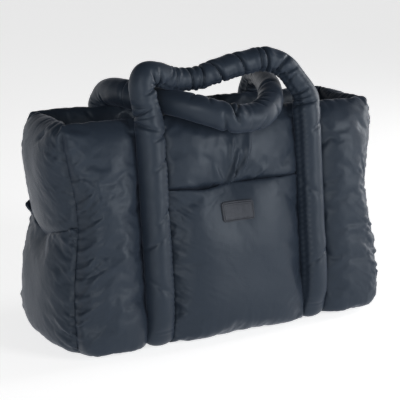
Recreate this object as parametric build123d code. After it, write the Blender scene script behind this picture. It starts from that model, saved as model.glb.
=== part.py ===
from build123d import *
import math
import os

# A padded puffer changing bag for a nursery: an open-topped tote that leans in towards its rim, with two
# stuffed tube handles sewn down its front and back, a slip pocket between the front handle's legs and a
# bottle pocket on each end. Millimetres, +Z up, +X to the bag's right as seen from the front (-Y), and
# the origin on the ground under the middle of the base.

# ---- driving dimensions -----------------------------------------------------------------------------
BODY_WIDTH = 500.0          # between the two ends, seam to seam
BASE_DEPTH = 196.0          # front to back at the base
RIM_DEPTH = 123.0           # front to back at the rim
RIM_HEIGHT = 314.0
BASE_THICKNESS = 18.0       # cover, wadding, board and lining together
CORNER_RADIUS = 26.0        # of the base, in plan

COVER = 1.2                 # the outer fabric
LINING = 1.0
WALL_WADDING = 22.8
END_WADDING = 19.8
BOARD = 2.4
GAP = 0.2                   # between neighbours that only touch

TUBE_RADIUS = 18.0          # of a handle
SLEEVE = 1.2                # the handle's fabric
LEG_X = 126.0               # handle legs, either side of the middle
LEG_STANDOFF = 17.0         # a leg's axis in front of the wall: its back is sewn flat
LEG_FOOT = 8.0              # height of the foot of a leg
LEG_PARTING = 0.4           # between a leg and the loop that bends off it

POCKET_WADDING = 14.0       # of the front pocket
POCKET_RISE = 198.0         # front pocket, from its bottom seam to its mouth
POCKET_FOOT = 6.0           # its bottom seam above the base
POCKET_HALF_WIDTH = 104.0
MOUTH_GAP = 12.0            # between its mouth and the wall behind it
END_POCKET_WADDING = 9.0
END_POCKET_RISE = 158.0
END_POCKET_FOOT = 2.0
END_MOUTH_GAP = 9.0
SEAM_GAP = 1.5              # between a pocket's bottom seam and the wall behind it
HEM = 10.0                  # the folded edge along a pocket's mouth

SNAP_RADIUS = 9.0           # magnetic snaps
SNAP_PIN_RADIUS = 2.7
SNAP_PIN_HEIGHT = 1.6
SNAP_PIN_CLEARANCE = 0.5
SNAP_BELOW_HEM = 9.0        # from the front pocket's hem down to its snap's middle
END_SNAP_BELOW_HEM = 20.0   # the end pockets' mouths dip to their snaps

LABEL_WIDTH = 50.0
LABEL_HEIGHT = 28.0
LABEL_THICKNESS = 1.4
LABEL_ABOVE_FOOT = 160.0    # its middle, up the pocket

FACING_HEIGHT = 38.0        # the band of cover fabric inside the rim
FACING = 0.8
RIM_FOLD = 2.0              # the facing stops this far below the rim

ZIP_LENGTH = 200.0
ZIP_ABOVE_BASE = 196.0
ZIP_TAPE_WIDTH = 26.0
ZIP_SLIT = 1.0
COIL_WIDTH = 2.4
COIL_HEIGHT = 1.6
SLOT_WIDTH = 8.0

# ---- worked-out places --------------------------------------------------------------------------------
LEAN = math.atan2((BASE_DEPTH - RIM_DEPTH) / 2, RIM_HEIGHT - BASE_THICKNESS)
WALL_LENGTH = (RIM_HEIGHT - BASE_THICKNESS) / math.cos(LEAN)
WALL = COVER + WALL_WADDING + LINING
END_WALL = COVER + END_WADDING + LINING
END_FOOT = -BOARD - LINING   # the ends reach down to the base wadding, either side of the board
FRONT, BACK = -1, 1
LEFT, RIGHT = -1, 1


def wall_plane(side):
    """The outer face of the front or back wall: local x along the bag, local y up the leaning wall."""
    normal = (0, side * math.cos(LEAN), math.sin(LEAN))
    return Plane(origin=(0, side * BASE_DEPTH / 2, BASE_THICKNESS), x_dir=(-side, 0, 0), z_dir=normal)


def end_plane(side):
    """The outer face of the left or right end: local x across the bag, local y straight up."""
    return Plane(origin=(side * BODY_WIDTH / 2, 0, BASE_THICKNESS), x_dir=(0, side, 0), z_dir=(side, 0, 0))


def leaned_out(plane, foot, rise, mouth_gap):
    """A pocket's inner face: SEAM_GAP off the plane at its foot and mouth_gap off it at its mouth."""
    tilt = math.atan2(mouth_gap - SEAM_GAP, rise)
    start = plane.from_local_coords((0, foot, SEAM_GAP))
    up = plane.y_dir * math.cos(tilt) + plane.z_dir * math.sin(tilt)
    return Plane(origin=start, x_dir=plane.x_dir, z_dir=plane.x_dir.cross(up))


def slab(plane, outline, start, thickness):
    """A flat sheet with that outline, from start to start + thickness off the plane."""
    return extrude(plane.offset(start) * outline, amount=thickness)


def save(node, *shapes):
    """Writes one node, which may hold several separate solids."""
    solids = [solid for shape in shapes for solid in shape.solids()]
    export_step(solids[0] if len(solids) == 1 else Compound(children=solids), f"parts/{node}.step")


# ---- walls --------------------------------------------------------------------------------------------
def wall_outline(trim=0.0):
    """The front or back wall: a rectangle with rounded top corners."""
    sheet = Rectangle(BODY_WIDTH - 2 * trim, WALL_LENGTH - trim, align=(Align.CENTER, Align.MIN))
    return fillet(sheet.vertices().group_by(Axis.Y)[-1], 8.0)


def end_half_depth(height, inset):
    """Half the depth between the walls' inner faces at that height above the base, less inset."""
    return BASE_DEPTH / 2 - WALL / math.cos(LEAN) - height * math.tan(LEAN) - inset


def end_band(bottom, top, inset):
    """A strip of an end between two heights, inset from the front and back walls, which close in above."""
    low, high = end_half_depth(bottom, inset), end_half_depth(top, inset)
    return make_face(Polyline((-low, bottom), (low, bottom), (high, top), (-high, top), close=True))


def make_walls():
    for name, side in (("front", FRONT), ("back", BACK)):
        plane = wall_plane(side)
        save(f"{name}_cover", slab(plane, wall_outline(), -COVER, COVER))
        save(f"{name}_wadding", slab(plane, wall_outline(2.0), -COVER - WALL_WADDING, WALL_WADDING))
        save(f"{name}_lining", slab(plane, wall_outline(), -WALL, LINING))
    for name, side in (("left_end", LEFT), ("right_end", RIGHT)):
        plane = end_plane(side)
        outline = end_band(END_FOOT, RIM_HEIGHT - BASE_THICKNESS, GAP)
        save(f"{name}_cover", slab(plane, outline, -COVER, COVER))
        save(f"{name}_wadding", slab(plane, outline, -COVER - END_WADDING, END_WADDING))
        save(f"{name}_lining", slab(plane, outline, -END_WALL, LINING))


def make_base():
    """Four layers: the bag stands on the lowest, and the upper two lie inside the walls."""
    outline = RectangleRounded(BODY_WIDTH, BASE_DEPTH, CORNER_RADIUS)
    inside = RectangleRounded(BODY_WIDTH - 2 * (END_WALL + GAP), 2 * end_half_depth(0, GAP), CORNER_RADIUS / 4)
    wadding = BASE_THICKNESS - COVER - BOARD - LINING - GAP
    save("base_cover", extrude(outline, amount=COVER))
    save("base_wadding", extrude(Plane.XY.offset(COVER) * outline, amount=wadding))
    save("base_board", extrude(Plane.XY.offset(COVER + wadding) * inside, amount=BOARD))
    save("base_lining", extrude(Plane.XY.offset(COVER + wadding + BOARD) * inside, amount=LINING))


def make_rim_facing():
    """The band of cover fabric turned in over the rim, on the inside of each lining."""
    low = WALL_LENGTH - FACING_HEIGHT
    reach = BODY_WIDTH / 2 - END_WALL - FACING - GAP
    bands = []
    for side in (FRONT, BACK):
        band = Rectangle(2 * reach, FACING_HEIGHT - RIM_FOLD, align=(Align.CENTER, Align.MIN))
        bands.append(slab(wall_plane(side), Pos(0, low) * band, -WALL - FACING - GAP, FACING))
    for side in (LEFT, RIGHT):
        top = RIM_HEIGHT - BASE_THICKNESS - RIM_FOLD
        band = end_band(top + RIM_FOLD - FACING_HEIGHT, top, FACING + 3 * GAP)
        bands.append(slab(end_plane(side), band, -END_WALL - FACING - GAP, FACING))
    save("rim_facing", *bands)


# ---- handles ------------------------------------------------------------------------------------------
def leg_section(radius, flat):
    """A tube's section with its back sewn flat: local y points away from the wall."""
    disc = Pos(0, LEG_STANDOFF) * Circle(radius)
    return disc & Pos(0, flat) * Rectangle(4 * radius, 4 * radius, align=(Align.CENTER, Align.MIN))


def leg(side, x, radius, flat, hollow=None):
    """One leg of a handle, sewn to the wall from LEG_FOOT up to the rim."""
    wall = wall_plane(side)
    foot = (LEG_FOOT - BASE_THICKNESS) / math.cos(LEAN)
    across = Plane(origin=wall.from_local_coords((x, foot, 0)), x_dir=wall.x_dir * -1, z_dir=wall.y_dir)
    section = leg_section(radius, flat)
    if hollow:
        section -= leg_section(*hollow)
    return extrude(across * section, amount=WALL_LENGTH - foot)


def loop_path(points):
    """Straight runs joined by tangent arcs, each as large as its two runs allow."""
    runs = [Vector(*b) - Vector(*a) for a, b in zip(points, points[1:])]
    radii = []
    for i, (before, after) in enumerate(zip(runs, runs[1:])):
        turn = math.radians(before.get_angle(after))
        room = min(before.length * (0.93 if i == 0 else 0.48),
                   after.length * (0.93 if i == len(runs) - 2 else 0.48))
        radii.append(room / math.tan(turn / 2))
    print("loop radii", [round(r) for r in radii], "length", round(sum(r.length for r in runs)))
    return FilletPolyline(*points, radius=radii)


def loop(path, radius, hollow=0.0):
    section = Circle(radius)
    if hollow:
        section -= Circle(hollow)
    return sweep(Plane(origin=path @ 0, z_dir=path % 0) * section, path=path)


def leg_top(side, x, up):
    """A point that far past the middle of the upper end of the leg at x."""
    return tuple(wall_plane(side).from_local_coords((-side * x, WALL_LENGTH + up, LEG_STANDOFF)))


# The front handle stands, sagging left of its middle; the back handle has fallen forward through it, over
# the opening, and hangs over the front rim.
FRONT_LOOP = [leg_top(FRONT, -LEG_X, LEG_PARTING), leg_top(FRONT, -LEG_X, 60.0), (-70, -60, 371),
              (-40, -60, 370), (-8, -60, 374), (26, -60, 381), (58, -61, 385), (91, -66, 374),
              leg_top(FRONT, LEG_X, 22.0), leg_top(FRONT, LEG_X, LEG_PARTING)]
BACK_LOOP = [leg_top(BACK, -LEG_X, LEG_PARTING), leg_top(BACK, -LEG_X, 28.0), (-117, 28, 344),
             (-104, -10, 341), (-88, -44, 337), (-70, -74, 332), (-42, -98, 318), (0, -105, 309),
             (38, -101, 314), (66, -78, 329), (86, -46, 337), (100, -10, 341), (112, 28, 345),
             leg_top(BACK, LEG_X, 28.0), leg_top(BACK, LEG_X, LEG_PARTING)]


def make_handles():
    core_radius = TUBE_RADIUS - SLEEVE
    for name, side, points in (("front", FRONT, FRONT_LOOP), ("back", BACK, BACK_LOOP)):
        hollow = (core_radius, GAP + SLEEVE)
        save(f"{name}_leg_sleeves", *(leg(side, x, TUBE_RADIUS, GAP, hollow) for x in (-LEG_X, LEG_X)))
        save(f"{name}_leg_cores", *(leg(side, x, *hollow) for x in (-LEG_X, LEG_X)))
        path = loop_path(points)
        save(f"{name}_handle_sleeve", loop(path, TUBE_RADIUS, core_radius))
        save(f"{name}_handle_core", loop(path, core_radius))


# ---- pockets and snaps --------------------------------------------------------------------------------
def snap_socket(plane, x, y, thickness):
    """The half with the hole, standing thickness off the plane."""
    hole = SNAP_PIN_RADIUS + SNAP_PIN_CLEARANCE
    disc = Circle(SNAP_RADIUS) - Circle(hole)
    return slab(plane, Pos(x, y) * disc, 0, thickness)


def snap_stud(plane, x, y, thickness):
    """The half with the pin, on the far side of the plane, its pin pointing away from thickness."""
    disc = slab(plane, Pos(x, y) * Circle(SNAP_RADIUS), 0, thickness)
    pin = slab(plane, Pos(x, y) * Circle(SNAP_PIN_RADIUS), thickness, SNAP_PIN_HEIGHT)
    return disc + pin


def make_pocket(name, plane, foot, rise, mouth_gap, wadding, panel, hem, snap_below_hem):
    """Three layers and a hem, all on the pocket's own plane, and a snap that holds its mouth shut."""
    own = leaned_out(plane, foot, rise, mouth_gap)
    save(f"{name}_lining", slab(own, panel, 0, LINING))
    save(f"{name}_wadding", slab(own, panel, LINING, wadding))
    save(f"{name}_cover", slab(own, panel, LINING + wadding, COVER))
    save(f"{name}_hem", slab(own, hem, 0, LINING + wadding + COVER))
    height = rise - HEM - snap_below_hem
    room = SEAM_GAP + (mouth_gap - SEAM_GAP) * (height - SNAP_RADIUS) / rise
    half = room / 2 - GAP
    save(f"{name}_snap_socket", snap_socket(plane, 0, foot + height, half))
    inward = Plane(origin=own.origin, x_dir=own.x_dir * -1, z_dir=own.z_dir * -1)
    save(f"{name}_snap_stud", snap_stud(inward, 0, height, half))
    return own


def make_front_pocket():
    panel = Rectangle(2 * POCKET_HALF_WIDTH, POCKET_RISE - HEM, align=(Align.CENTER, Align.MIN))
    hem = Pos(0, POCKET_RISE - HEM) * Rectangle(2 * POCKET_HALF_WIDTH, HEM, align=(Align.CENTER, Align.MIN))
    own = make_pocket("front_pocket", wall_plane(FRONT), POCKET_FOOT, POCKET_RISE, MOUTH_GAP,
                      POCKET_WADDING, panel, hem, SNAP_BELOW_HEM)
    patch = Pos(0, LABEL_ABOVE_FOOT) * RectangleRounded(LABEL_WIDTH, LABEL_HEIGHT, 4.0)
    save("label_patch", slab(own, patch, LINING + POCKET_WADDING + COVER, LABEL_THICKNESS))


def end_pocket_band(low, high):
    """A strip of the end pocket between two heights up it; it narrows as the walls lean in."""
    half = [BASE_DEPTH / 2 - 2 - height * math.tan(LEAN) for height in (low, high)]
    return make_face(Polyline((-half[0], low), (half[0], low), (half[1], high), (-half[1], high), close=True))


def make_end_pockets():
    panel = end_pocket_band(0, END_POCKET_RISE - HEM)
    hem = end_pocket_band(END_POCKET_RISE - HEM, END_POCKET_RISE)
    for name, side in (("left_pocket", LEFT), ("right_pocket", RIGHT)):
        make_pocket(name, end_plane(side), END_POCKET_FOOT, END_POCKET_RISE, END_MOUTH_GAP,
                    END_POCKET_WADDING, panel, hem, END_SNAP_BELOW_HEM)


def make_top_snap():
    """The snap that draws the rim together: a half on each lining's facing, at the middle of the rim."""
    height = WALL_LENGTH - FACING_HEIGHT / 2
    thickness = 2.6
    for node, side, make in (("top_snap_socket", FRONT, snap_socket), ("top_snap_stud", BACK, snap_stud)):
        wall = wall_plane(side)
        inner = Plane(origin=wall.from_local_coords((0, 0, -WALL - FACING - GAP)),
                      x_dir=wall.x_dir * -1, z_dir=wall.z_dir * -1)
        save(node, make(inner, 0, height, thickness))


# ---- inside pockets -----------------------------------------------------------------------------------
def inner_plane(side):
    """The inner face of a wall's lining, facing into the bag, with local y up."""
    wall = wall_plane(side)
    return Plane(origin=wall.from_local_coords((0, 0, -WALL)), x_dir=wall.x_dir * -1, z_dir=wall.z_dir * -1)


def make_slip_pockets():
    """A gathered panel across the back lining, lying flat, with an elastic along its mouth."""
    plane = inner_plane(BACK)
    panel = Pos(0, 14) * Rectangle(360, 150, align=(Align.CENTER, Align.MIN))
    elastic = Pos(0, 164) * Rectangle(360, 12, align=(Align.CENTER, Align.MIN))
    save("slip_pocket_panel", slab(plane, panel, GAP, 1.2))
    save("slip_pocket_elastic", slab(plane, elastic, GAP, 2.0))


def make_zip_pocket():
    """A flat pocket on the front lining, closed by a coil zip that its slider runs along."""
    plane = inner_plane(FRONT)
    tape_top, panel_top, coil_top = 0.9, 2.0, 0.9 + COIL_HEIGHT
    centre = Pos(0, ZIP_ABOVE_BASE)
    tape = centre * Rectangle(ZIP_LENGTH + 12, ZIP_TAPE_WIDTH) - centre * Rectangle(ZIP_LENGTH, ZIP_SLIT)
    save("zip_tape", slab(plane, tape, GAP, tape_top - GAP))
    patch = Pos(0, ZIP_ABOVE_BASE - 120) * Rectangle(ZIP_LENGTH + 40, 146, align=(Align.CENTER, Align.MIN))
    slot = centre * SlotOverall(ZIP_LENGTH + 4, SLOT_WIDTH)
    save("zip_pocket_panel", slab(plane, patch - slot, tape_top, panel_top - tape_top))
    rows = [Pos(0, ZIP_ABOVE_BASE + shift) * Rectangle(ZIP_LENGTH - 8, COIL_WIDTH)
            for shift in (-COIL_WIDTH / 2 - 0.1, COIL_WIDTH / 2 + 0.1)]
    save("zip_coils", *(slab(plane, row, tape_top, COIL_HEIGHT) for row in rows))
    stops = [Pos(x, ZIP_ABOVE_BASE) * Rectangle(2.4, 6) for x in (-ZIP_LENGTH / 2 + 2, ZIP_LENGTH / 2 - 2)]
    save("zip_stops", *(slab(plane, stop, tape_top, COIL_HEIGHT) for stop in stops))

    at_x = ZIP_LENGTH / 2 - 12
    pin_height = coil_top + 3.9
    plate = slab(plane, Pos(at_x, ZIP_ABOVE_BASE) * RectangleRounded(11, 8.4, 2.4), coil_top + GAP, 1.4)
    ears = [slab(plane, Pos(at_x, ZIP_ABOVE_BASE + shift) * Rectangle(3.2, 1.0), coil_top + 1.4, 3.6)
            for shift in (-3.6, 3.6)]
    across = Plane(origin=plane.from_local_coords((at_x, ZIP_ABOVE_BASE - 4.1, pin_height)),
                   x_dir=plane.x_dir, z_dir=plane.y_dir)
    pin = extrude(across * Circle(0.8), amount=8.2)
    save("zip_slider", plate + ears[0] + ears[1] + pin)

    middle = Plane(origin=plane.from_local_coords((at_x, ZIP_ABOVE_BASE - 2.6, pin_height)),
                   x_dir=plane.x_dir, z_dir=plane.y_dir)
    barrel = extrude(middle * (Circle(1.6) + Pos(-1.6, 0) * Rectangle(3.2, 1.2)), amount=5.2)
    tab = slab(plane, Pos(at_x - 14, ZIP_ABOVE_BASE) * RectangleRounded(23, 5.2, 2.0), pin_height - 0.6, 1.2)
    bore = extrude(middle.offset(-1) * Circle(0.85), amount=7.2)
    save("zip_puller", barrel + tab - bore)


def main():
    os.makedirs("parts", exist_ok=True)
    make_base()
    make_walls()
    make_rim_facing()
    make_handles()
    make_front_pocket()
    make_end_pockets()
    make_top_snap()
    make_slip_pockets()
    make_zip_pocket()


main()
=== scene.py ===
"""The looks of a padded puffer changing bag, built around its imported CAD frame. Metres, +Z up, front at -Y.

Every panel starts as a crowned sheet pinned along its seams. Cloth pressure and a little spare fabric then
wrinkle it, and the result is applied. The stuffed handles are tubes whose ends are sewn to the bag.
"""
import math

import bpy
import numpy as np
from mathutils import Matrix, Vector, noise
from mathutils.bvhtree import BVHTree


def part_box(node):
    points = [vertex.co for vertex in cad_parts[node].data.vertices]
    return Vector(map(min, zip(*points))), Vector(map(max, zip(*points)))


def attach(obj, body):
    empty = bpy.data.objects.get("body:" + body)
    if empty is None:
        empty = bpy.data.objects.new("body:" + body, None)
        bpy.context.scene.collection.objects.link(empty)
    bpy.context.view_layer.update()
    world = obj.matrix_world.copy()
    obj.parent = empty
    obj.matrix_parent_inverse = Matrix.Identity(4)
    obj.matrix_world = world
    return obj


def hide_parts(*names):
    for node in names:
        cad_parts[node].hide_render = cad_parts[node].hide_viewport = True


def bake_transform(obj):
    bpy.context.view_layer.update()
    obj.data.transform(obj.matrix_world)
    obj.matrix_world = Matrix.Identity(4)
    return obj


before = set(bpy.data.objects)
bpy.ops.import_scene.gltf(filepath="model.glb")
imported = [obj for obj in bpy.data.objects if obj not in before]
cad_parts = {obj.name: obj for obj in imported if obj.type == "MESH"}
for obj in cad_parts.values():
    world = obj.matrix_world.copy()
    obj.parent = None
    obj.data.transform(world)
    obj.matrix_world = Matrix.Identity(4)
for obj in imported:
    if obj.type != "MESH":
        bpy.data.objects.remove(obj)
scene = bpy.context.scene
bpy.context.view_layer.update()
MM = 0.001
FRONT, BACK, LEFT, RIGHT = -1, 1, -1, 1

# ---- places taken from the frame ----
wall_vertices = [v.co.copy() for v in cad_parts["front_cover"].data.vertices]
RIM_EDGE = max(wall_vertices, key=lambda co: co.z)  # outer edge of the front rim
FOOT_EDGE = min(wall_vertices, key=lambda co: co.y)  # outer edge of the front wall's foot
HALF_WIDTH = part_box("base_cover")[1][0]
BASE_HALF = -FOOT_EDGE.y
FOOT_Z = FOOT_EDGE.z
LEAN = math.atan2(RIM_EDGE.y - FOOT_EDGE.y, RIM_EDGE.z - FOOT_EDGE.z)
COS, SIN = math.cos(LEAN), math.sin(LEAN)  # of the lean of the front and back walls
WALL_LENGTH = (RIM_EDGE.z - FOOT_EDGE.z) / COS
CAD_TUBE_RADIUS = 18 * MM
LEG_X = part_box("front_leg_sleeves")[1][0] - CAD_TUBE_RADIUS

# ---- places chosen for the shown cloth ----
SNAP_X, SNAP_UP = -11 * MM, 200 * MM  # the front snap, which pinches its pocket's mouth
LEG_STRIP_HALF = 15 * MM  # half the flat strip a leg is sewn onto
# The corner seams pull in by this much at this height, and over this spread.
SEAM_PULL, SEAM_PULL_Z, SEAM_PULL_SPREAD = 14 * MM, 190 * MM, 75 * MM


# ---- small helpers ----
def stacked(*coordinates):
    """Points, from coordinates whose shapes match or stretch to match."""
    return np.stack(np.broadcast_arrays(*coordinates), -1)


def wall(side, x, up, off):
    """Points on the leaning front or back wall: up the wall from its foot, and off its outer face."""
    y = side * (BASE_HALF + COS * off - SIN * up)
    z = FOOT_Z + COS * up + SIN * off
    return stacked(x, y, z)


def up_wall(z, off=0.0):
    """How far up a wall the height z is, at a distance off the wall's outer face."""
    return (z - FOOT_Z - SIN * off) / COS


def wall_half_depth(z):
    """Half the bag's depth between the front and back corner seams at height z."""
    return BASE_HALF - (z - FOOT_Z) * math.tan(LEAN)


def seam_x(z):
    """How far out the corner seams run: they pull in at the height where the end pockets' mouths are."""
    return HALF_WIDTH - 2 * MM - SEAM_PULL * bump(z - SEAM_PULL_Z, SEAM_PULL_SPREAD)


def smoothstep(low, high, value):
    t = np.clip((value - low) / (high - low), 0, 1)
    return t * t * (3 - 2 * t)


def pillow(t, power, root=0.55):
    """1 in the middle and 0 at t = -1 and 1, with steep flanks."""
    return np.maximum(0, 1 - np.abs(t) ** power) ** root


def bump(distance, width):
    return np.exp(-((distance / width) ** 2))


def run_length(path):
    """How far along a path each of its points is."""
    return np.concatenate([[0], np.cumsum(np.linalg.norm(np.diff(path, axis=0), axis=1))])


def smooth_curve(points, step, measured):
    """A Catmull-Rom curve, sampled at even steps of the length of its first (measured) coordinates."""
    pts = np.array(points, float)
    ext = np.vstack([2 * pts[0] - pts[1], pts, 2 * pts[-1] - pts[-2]])
    t = np.linspace(0, 1, 24, endpoint=False)[:, None]
    dense = [0.5 * (2 * b + (c - a) * t + (2 * a - 5 * b + 4 * c - d) * t ** 2
                    + (3 * b - a - 3 * c + d) * t ** 3)
             for a, b, c, d in zip(ext, ext[1:], ext[2:], ext[3:])]
    dense = np.vstack(dense + [pts[-1:]])
    length = run_length(dense[:, :measured])
    at = np.linspace(0, length[-1], round(length[-1] / step) + 1)
    return np.stack([np.interp(at, length, column) for column in dense.T], 1)


def profile_pair(full, seam, step):
    """Two curves of one parameter, even along the first: the crowned section and the section at a seam."""
    both = smooth_curve(np.hstack([full, seam]) * MM, step, 2)
    return both[:, :2], both[:, 2:]


def between(edge, crown, share):
    """A section's two coordinates, a share of the way from its edge to its crown, for each column."""
    return [edge[:, k:k + 1] + (crown[:, k:k + 1] - edge[:, k:k + 1]) * share for k in (0, 1)]


def roughness_field(points, scale, seed):
    """Smooth noise from -1 to 1 at each point; scale is its rough wavelength."""
    shift = Vector((seed * 7.31, seed * 3.17, seed * 5.73))
    return np.array([noise.noise(Vector(p) / scale + shift) for p in points.reshape(-1, 3)]
                    ).reshape(points.shape[:-1])


def noise_at(*coordinates):
    """Smooth noise at the places that the three coordinates give."""
    points = stacked(*coordinates)
    return np.array([noise.noise(Vector(p)) for p in points.reshape(-1, 3)]).reshape(points.shape[:-1])


def vertex_values(mesh, kind="co"):
    """The mesh's vertex coordinates, or its vertex normals."""
    values = np.empty(3 * len(mesh.vertices), np.float32)
    mesh.vertices.foreach_get(kind, values)
    return values.reshape(-1, 3).astype(float)


def place_vertices(mesh, points):
    mesh.vertices.foreach_set("co", points.astype(np.float32).ravel())
    mesh.update()


def new_mesh(name, points, faces, material):
    mesh = bpy.data.meshes.new(name)
    mesh.from_pydata([tuple(p) for p in points], [], faces)
    mesh.update()
    piece = bpy.data.objects.new(name, mesh)
    scene.collection.objects.link(piece)
    mesh.materials.append(material)
    for polygon in mesh.polygons:
        polygon.use_smooth = True
    return piece


def grid_faces(rows, columns, wrap=False):
    """Quads over rows x columns of points, in row order; wrap joins the last column to the first."""
    faces = []
    for j in range(rows - 1):
        for i in range(columns if wrap else columns - 1):
            k = (i + 1) % columns
            faces.append((j * columns + i, j * columns + k, (j + 1) * columns + k, (j + 1) * columns + i))
    return faces


def grid_piece(name, points, material, outward):
    """A sheet over a grid of points, turned so that the face in its middle looks along outward."""
    rows, columns = points.shape[:2]
    piece = new_mesh(name, points.reshape(-1, 3), grid_faces(rows, columns), material)
    middle = piece.data.polygons[(rows // 2) * (columns - 1) + columns // 2]
    if middle.normal.dot(Vector(outward)) < 0:
        piece.data.flip_normals()
    return piece


# ---- materials ----
def nodes_of(name):
    material = bpy.data.materials.new(name)
    material.use_nodes = True
    tree = material.node_tree
    return material, tree, tree.nodes["Principled BSDF"]


def feed(tree, node, inputs):
    """Sets a node's inputs, or links them where the value is another node's socket."""
    for key, value in inputs.items():
        if isinstance(value, bpy.types.NodeSocket):
            tree.links.new(value, node.inputs[key])
        else:
            node.inputs[key].default_value = value


def add(tree, kind, inputs=None, **settings):
    node = tree.nodes.new(kind)
    for key, value in settings.items():
        setattr(node, key, value)
    feed(tree, node, inputs or {})
    return node


def combined(tree, operation, first, second):
    return add(tree, "ShaderNodeMath", {0: first, 1: second}, operation=operation).outputs[0]


def rescaled(tree, value, source, target):
    """The value, carried from the source range to the target range."""
    ends = {"From Min": source[0], "From Max": source[1], "To Min": target[0], "To Max": target[1]}
    return add(tree, "ShaderNodeMapRange", {"Value": value, **ends}).outputs["Result"]


def cloudy(tree, place, scale, detail, **more):
    """Soft noise over the surface."""
    inputs = {"Vector": place, "Scale": scale, "Detail": detail, **more}
    return add(tree, "ShaderNodeTexNoise", inputs).outputs["Fac"]


def relief(tree, height, strength, distance, **below):
    inputs = {"Height": height, "Strength": strength, "Distance": distance, **below}
    return add(tree, "ShaderNodeBump", inputs).outputs["Normal"]


def tinted(tree, color, shade):
    """The colour times a shade that varies over the surface."""
    return add(tree, "ShaderNodeMix", {"Factor": 1.0, "A": (*color, 1), "B": shade},
               data_type="RGBA", blend_type="MULTIPLY").outputs["Result"]


SHEEN_TINT = (0.40, 0.48, 0.68, 1)
COOL_SPECULAR = (0.84, 0.92, 1.0, 1)


def woven(name, color, roughness, thread, sheen, crumple=0.25, ior=1.30):
    """Plain-weave cloth: crossed threads, soft crumpling, and colour that varies a little over the cloth."""
    material, tree, shader = nodes_of(name)
    place = add(tree, "ShaderNodeTexCoord").outputs["Object"]
    cloud = cloudy(tree, place, 9.0, 3.0, Roughness=0.55)
    fibre = cloudy(tree, place, 1100.0, 1.0)
    shade = rescaled(tree, combined(tree, "ADD", cloud, fibre), (0.6, 1.4), (0.9, 1.1))
    gloss = rescaled(tree, cloud, (0.3, 0.7), (roughness - 0.04, roughness + 0.05))
    # A wave texture of this scale has about one band in each thread's width.
    bands = {"Vector": place, "Scale": 1 / thread / 6.283 * 2, "Distortion": 0.6, "Detail": 0.0}
    by_x, by_y, by_z = [add(tree, "ShaderNodeTexWave", bands, bands_direction=axis).outputs["Fac"]
                        for axis in "XYZ"]
    weave = combined(tree, "ADD", combined(tree, "MULTIPLY", by_x, by_z), by_y)
    folds = cloudy(tree, place, 34.0, 4.0, Roughness=0.5, Distortion=0.5)
    normal = relief(tree, folds, crumple, 0.004, Normal=relief(tree, weave, 0.12, 0.00012))
    feed(tree, shader, {"Base Color": tinted(tree, color, shade), "Roughness": gloss, "Normal": normal,
                        "Sheen Weight": sheen, "Sheen Roughness": 0.45, "Sheen Tint": SHEEN_TINT,
                        "IOR": ior, "Specular Tint": COOL_SPECULAR})
    return material


def grained(name, color, roughness, ior=1.45):
    """Fine-grained synthetic leather or plastic: small cells with creases between them."""
    material, tree, shader = nodes_of(name)
    place = add(tree, "ShaderNodeTexCoord").outputs["Object"]
    cells = add(tree, "ShaderNodeTexVoronoi", {"Vector": place, "Scale": 1300.0}, feature="DISTANCE_TO_EDGE")
    grain = rescaled(tree, cells.outputs["Distance"], (0, 0.12), (0, 1))
    shade = rescaled(tree, cloudy(tree, place, 240.0, 3.0), (0.3, 0.7), (0.86, 1.1))
    feed(tree, shader, {"Base Color": tinted(tree, color, shade), "Roughness": roughness,
                        "Normal": relief(tree, grain, 0.35, 0.00015), "IOR": ior,
                        "Specular Tint": COOL_SPECULAR})
    return material


def plated(name, color, roughness):
    """Plated metal with faint handling marks."""
    material, tree, shader = nodes_of(name)
    place = add(tree, "ShaderNodeTexCoord").outputs["Object"]
    marks = cloudy(tree, place, 420.0, 4.0)
    shade = rescaled(tree, marks, (0, 1), (0.85, 1.12))
    gloss = rescaled(tree, marks, (0.3, 0.7), (roughness - 0.08, roughness + 0.12))
    feed(tree, shader, {"Base Color": tinted(tree, color, shade), "Roughness": gloss, "Metallic": 1.0})
    return material


# Cloths are given a colour, a roughness, the spacing of their threads in metres, and a sheen.
NYLON = woven("satin_nylon", (0.0165, 0.0235, 0.0350), 0.41, 0.00042, 0.10, crumple=0.18, ior=1.31)
LINING = woven("lining_nylon", (0.010, 0.012, 0.016), 0.6, 0.0005, 0.02, ior=1.25)
TAPE = woven("zip_tape_cloth", (0.013, 0.015, 0.020), 0.75, 0.0008, 0.05, crumple=0.05)
ELASTIC = woven("ribbed_elastic", (0.015, 0.017, 0.023), 0.7, 0.0011, 0.05, crumple=0.08)
LEATHER = grained("label_leather", (0.039, 0.042, 0.051), 0.5, ior=1.33)
METAL = plated("gunmetal", (0.33, 0.33, 0.35), 0.34)
COIL = grained("moulded_nylon", (0.018, 0.020, 0.026), 0.4)
BOARD = grained("polyethylene_board", (0.16, 0.16, 0.17), 0.55)


# ---- cloth ----
CLOTHS = []  # sheets to simulate, and how far they may move
CLOTH_FRAMES = 22
SPARE_FABRIC = 0.02  # how much longer than its panel the cloth is
CLOTH_SETTINGS = dict(
    quality=6, mass=0.15, tension_stiffness=30, compression_stiffness=30, shear_stiffness=10,
    bending_stiffness=0.2, tension_damping=10, compression_damping=10, shear_damping=10, air_damping=5,
    use_pressure=True, uniform_pressure_force=3, vertex_group_mass="pin", pin_stiffness=50,
    shrink_min=-SPARE_FABRIC)


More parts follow.
